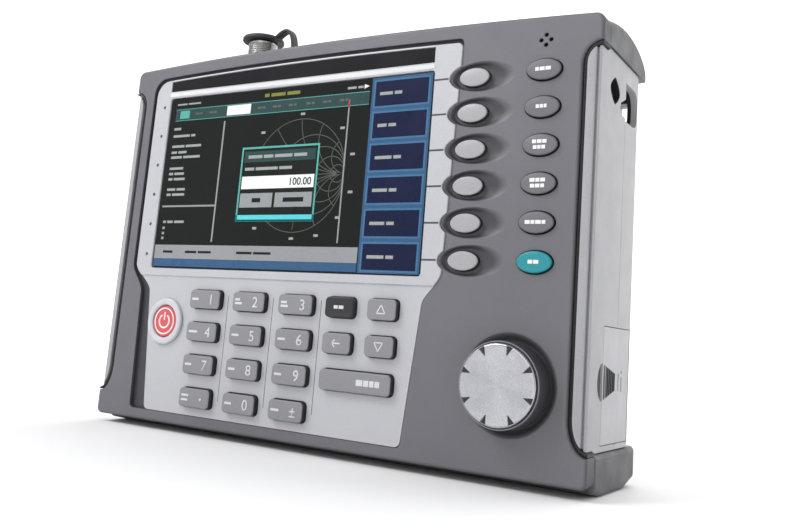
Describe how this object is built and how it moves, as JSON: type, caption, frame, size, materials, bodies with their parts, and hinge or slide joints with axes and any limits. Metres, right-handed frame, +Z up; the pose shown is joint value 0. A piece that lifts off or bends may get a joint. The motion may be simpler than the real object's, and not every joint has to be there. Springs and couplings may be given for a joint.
{
  "type": "vector network analyzer",
  "caption": "Handheld vector network analyzer with a wide screen, soft keys, a keypad, a tuning knob and a test port on top.",
  "frame": {"origin": "middle of the bounding box in X and Y, at the flat base that the case stands on", "axes": "+X to the right of the front face, +Y from the front face to the back, +Z up"},
  "size_m": [0.27, 0.075, 0.2174],
  "materials": {
    "dark_case": "fine matt grain, slate grey",
    "light_case": "fine matt grain, light grey",
    "silver_plate": "satin silver paint",
    "graphite_rubber": "matt",
    "screen_glass": "polished, dark display behind",
    "key_grey": "matt silicone",
    "key_black": "satin",
    "key_teal": "matt silicone",
    "key_silver": "satin silver paint",
    "power_red": "matt silicone",
    "steel": "plated, satin",
    "board_green": "solder mask",
    "battery_wrap": "shrink wrap"
  },
  "bodies": {
    "case": {"battery_pack": "battery_wrap", "beeper": "key_black", "bottom_cap": "dark_case", "control_plate": "silver_plate", "data_socket": "steel", "display_module": "steel", "encoder_body": "steel", "front_case": "dark_case", "gasket_left": "graphite_rubber", "gasket_right": "graphite_rubber", "housing": "light_case", "keypad_board": "board_green", "keypad_mat": "graphite_rubber", "main_board": "board_green", "name_strip": "key_black", "power_ring": "key_silver", "radio_module": "steel", "screen_glass": "screen_glass", "side_cover_left": "light_case", "side_cover_right": "light_case", "side_key_mat": "graphite_rubber", "stand_pin": "steel", "supply_jack": "key_black", "test_port": "steel", "top_cap": "dark_case"},
    "knob": {"tuning_knob": "key_silver", "encoder_shaft": "steel"},
    "battery_door": {"battery_door": "light_case"},
    "function_key_1": {"function_key_1": "key_grey"},
    "function_key_2": {"function_key_2": "key_grey"},
    "function_key_3": {"function_key_3": "key_grey"},
    "function_key_4": {"function_key_4": "key_grey"},
    "function_key_5": {"function_key_5": "key_grey"},
    "function_key_6": {"function_key_6": "key_teal"},
    "key_0": {"key_0": "key_grey"},
    "key_1": {"key_1": "key_grey"},
    "key_2": {"key_2": "key_grey"},
    "key_3": {"key_3": "key_grey"},
    "key_4": {"key_4": "key_grey"},
    "key_5": {"key_5": "key_grey"},
    "key_6": {"key_6": "key_grey"},
    "key_7": {"key_7": "key_grey"},
    "key_8": {"key_8": "key_grey"},
    "key_9": {"key_9": "key_grey"},
    "key_back": {"key_back": "key_grey"},
    "key_down": {"key_down": "key_grey"},
    "key_enter": {"key_enter": "key_grey"},
    "key_escape": {"key_escape": "key_black"},
    "key_point": {"key_point": "key_grey"},
    "key_sign": {"key_sign": "key_grey"},
    "key_up": {"key_up": "key_grey"},
    "port_cap": {"port_cap": "graphite_rubber"},
    "power_button": {"power_button": "power_red"},
    "soft_key_1": {"soft_key_1": "key_silver"},
    "soft_key_2": {"soft_key_2": "key_silver"},
    "soft_key_3": {"soft_key_3": "key_silver"},
    "soft_key_4": {"soft_key_4": "key_silver"},
    "soft_key_5": {"soft_key_5": "key_silver"},
    "soft_key_6": {"soft_key_6": "key_silver"},
    "stand": {"stand": "dark_case"}
  },
  "joints": [
    {"name": "tuning_knob_turn", "type": "hinge", "parent": "case", "child": "knob", "pos_m": [0.1015, -0.0265, 0.04], "axis": [0, 1, 0], "continuous": true},
    {"name": "battery_door_swing", "type": "hinge", "parent": "case", "child": "battery_door", "pos_m": [0.13275, 0.02625, 0.0195], "axis": [0, 0, 1], "range_deg": [0, 95]},
    {"name": "stand_swing", "type": "hinge", "parent": "case", "child": "stand", "pos_m": [0, 0.0328, 0.1165], "axis": [1, 0, 0], "range_deg": [0, 40]},
    {"name": "port_cap_lift", "type": "slide", "parent": "case", "child": "port_cap", "axis": [0, 0, 1], "range_m": [0, 0.014]},
    {"name": "function_key_1_press", "type": "slide", "parent": "case", "child": "function_key_1", "axis": [0, 1, 0], "range_m": [0, 0.0008], "stiffness_N_per_m": 600, "springref_m": -0.0004},
    {"name": "function_key_2_press", "type": "slide", "parent": "case", "child": "function_key_2", "axis": [0, 1, 0], "range_m": [0, 0.0008], "stiffness_N_per_m": 600, "springref_m": -0.0004},
    {"name": "function_key_3_press", "type": "slide", "parent": "case", "child": "function_key_3", "axis": [0, 1, 0], "range_m": [0, 0.0008], "stiffness_N_per_m": 600, "springref_m": -0.0004},
    {"name": "function_key_4_press", "type": "slide", "parent": "case", "child": "function_key_4", "axis": [0, 1, 0], "range_m": [0, 0.0008], "stiffness_N_per_m": 600, "springref_m": -0.0004},
    {"name": "function_key_5_press", "type": "slide", "parent": "case", "child": "function_key_5", "axis": [0, 1, 0], "range_m": [0, 0.0008], "stiffness_N_per_m": 600, "springref_m": -0.0004},
    {"name": "function_key_6_press", "type": "slide", "parent": "case", "child": "function_key_6", "axis": [0, 1, 0], "range_m": [0, 0.0008], "stiffness_N_per_m": 600, "springref_m": -0.0004},
    {"name": "key_0_press", "type": "slide", "parent": "case", "child": "key_0", "axis": [0, 1, 0], "range_m": [0, 0.0008], "stiffness_N_per_m": 600, "springref_m": -0.0004},
    {"name": "key_1_press", "type": "slide", "parent": "case", "child": "key_1", "axis": [0, 1, 0], "range_m": [0, 0.0008], "stiffness_N_per_m": 600, "springref_m": -0.0004},
    {"name": "key_2_press", "type": "slide", "parent": "case", "child": "key_2", "axis": [0, 1, 0], "range_m": [0, 0.0008], "stiffness_N_per_m": 600, "springref_m": -0.0004},
    {"name": "key_3_press", "type": "slide", "parent": "case", "child": "key_3", "axis": [0, 1, 0], "range_m": [0, 0.0008], "stiffness_N_per_m": 600, "springref_m": -0.0004},
    {"name": "key_4_press", "type": "slide", "parent": "case", "child": "key_4", "axis": [0, 1, 0], "range_m": [0, 0.0008], "stiffness_N_per_m": 600, "springref_m": -0.0004},
    {"name": "key_5_press", "type": "slide", "parent": "case", "child": "key_5", "axis": [0, 1, 0], "range_m": [0, 0.0008], "stiffness_N_per_m": 600, "springref_m": -0.0004},
    {"name": "key_6_press", "type": "slide", "parent": "case", "child": "key_6", "axis": [0, 1, 0], "range_m": [0, 0.0008], "stiffness_N_per_m": 600, "springref_m": -0.0004},
    {"name": "key_7_press", "type": "slide", "parent": "case", "child": "key_7", "axis": [0, 1, 0], "range_m": [0, 0.0008], "stiffness_N_per_m": 600, "springref_m": -0.0004},
    {"name": "key_8_press", "type": "slide", "parent": "case", "child": "key_8", "axis": [0, 1, 0], "range_m": [0, 0.0008], "stiffness_N_per_m": 600, "springref_m": -0.0004},
    {"name": "key_9_press", "type": "slide", "parent": "case", "child": "key_9", "axis": [0, 1, 0], "range_m": [0, 0.0008], "stiffness_N_per_m": 600, "springref_m": -0.0004},
    {"name": "key_back_press", "type": "slide", "parent": "case", "child": "key_back", "axis": [0, 1, 0], "range_m": [0, 0.0008], "stiffness_N_per_m": 600, "springref_m": -0.0004},
    {"name": "key_down_press", "type": "slide", "parent": "case", "child": "key_down", "axis": [0, 1, 0], "range_m": [0, 0.0008], "stiffness_N_per_m": 600, "springref_m": -0.0004},
    {"name": "key_enter_press", "type": "slide", "parent": "case", "child": "key_enter", "axis": [0, 1, 0], "range_m": [0, 0.0008], "stiffness_N_per_m": 600, "springref_m": -0.0004},
    {"name": "key_escape_press", "type": "slide", "parent": "case", "child": "key_escape", "axis": [0, 1, 0], "range_m": [0, 0.0008], "stiffness_N_per_m": 600, "springref_m": -0.0004},
    {"name": "key_point_press", "type": "slide", "parent": "case", "child": "key_point", "axis": [0, 1, 0], "range_m": [0, 0.0008], "stiffness_N_per_m": 600, "springref_m": -0.0004},
    {"name": "key_sign_press", "type": "slide", "parent": "case", "child": "key_sign", "axis": [0, 1, 0], "range_m": [0, 0.0008], "stiffness_N_per_m": 600, "springref_m": -0.0004},
    {"name": "key_up_press", "type": "slide", "parent": "case", "child": "key_up", "axis": [0, 1, 0], "range_m": [0, 0.0008], "stiffness_N_per_m": 600, "springref_m": -0.0004},
    {"name": "power_button_press", "type": "slide", "parent": "case", "child": "power_button", "axis": [0, 1, 0], "range_m": [0, 0.0008], "stiffness_N_per_m": 600, "springref_m": -0.0004},
    {"name": "soft_key_1_press", "type": "slide", "parent": "case", "child": "soft_key_1", "axis": [0, 1, 0], "range_m": [0, 0.0008], "stiffness_N_per_m": 600, "springref_m": -0.0004},
    {"name": "soft_key_2_press", "type": "slide", "parent": "case", "child": "soft_key_2", "axis": [0, 1, 0], "range_m": [0, 0.0008], "stiffness_N_per_m": 600, "springref_m": -0.0004},
    {"name": "soft_key_3_press", "type": "slide", "parent": "case", "child": "soft_key_3", "axis": [0, 1, 0], "range_m": [0, 0.0008], "stiffness_N_per_m": 600, "springref_m": -0.0004},
    {"name": "soft_key_4_press", "type": "slide", "parent": "case", "child": "soft_key_4", "axis": [0, 1, 0], "range_m": [0, 0.0008], "stiffness_N_per_m": 600, "springref_m": -0.0004},
    {"name": "soft_key_5_press", "type": "slide", "parent": "case", "child": "soft_key_5", "axis": [0, 1, 0], "range_m": [0, 0.0008], "stiffness_N_per_m": 600, "springref_m": -0.0004},
    {"name": "soft_key_6_press", "type": "slide", "parent": "case", "child": "soft_key_6", "axis": [0, 1, 0], "range_m": [0, 0.0008], "stiffness_N_per_m": 600, "springref_m": -0.0004}
  ]
}
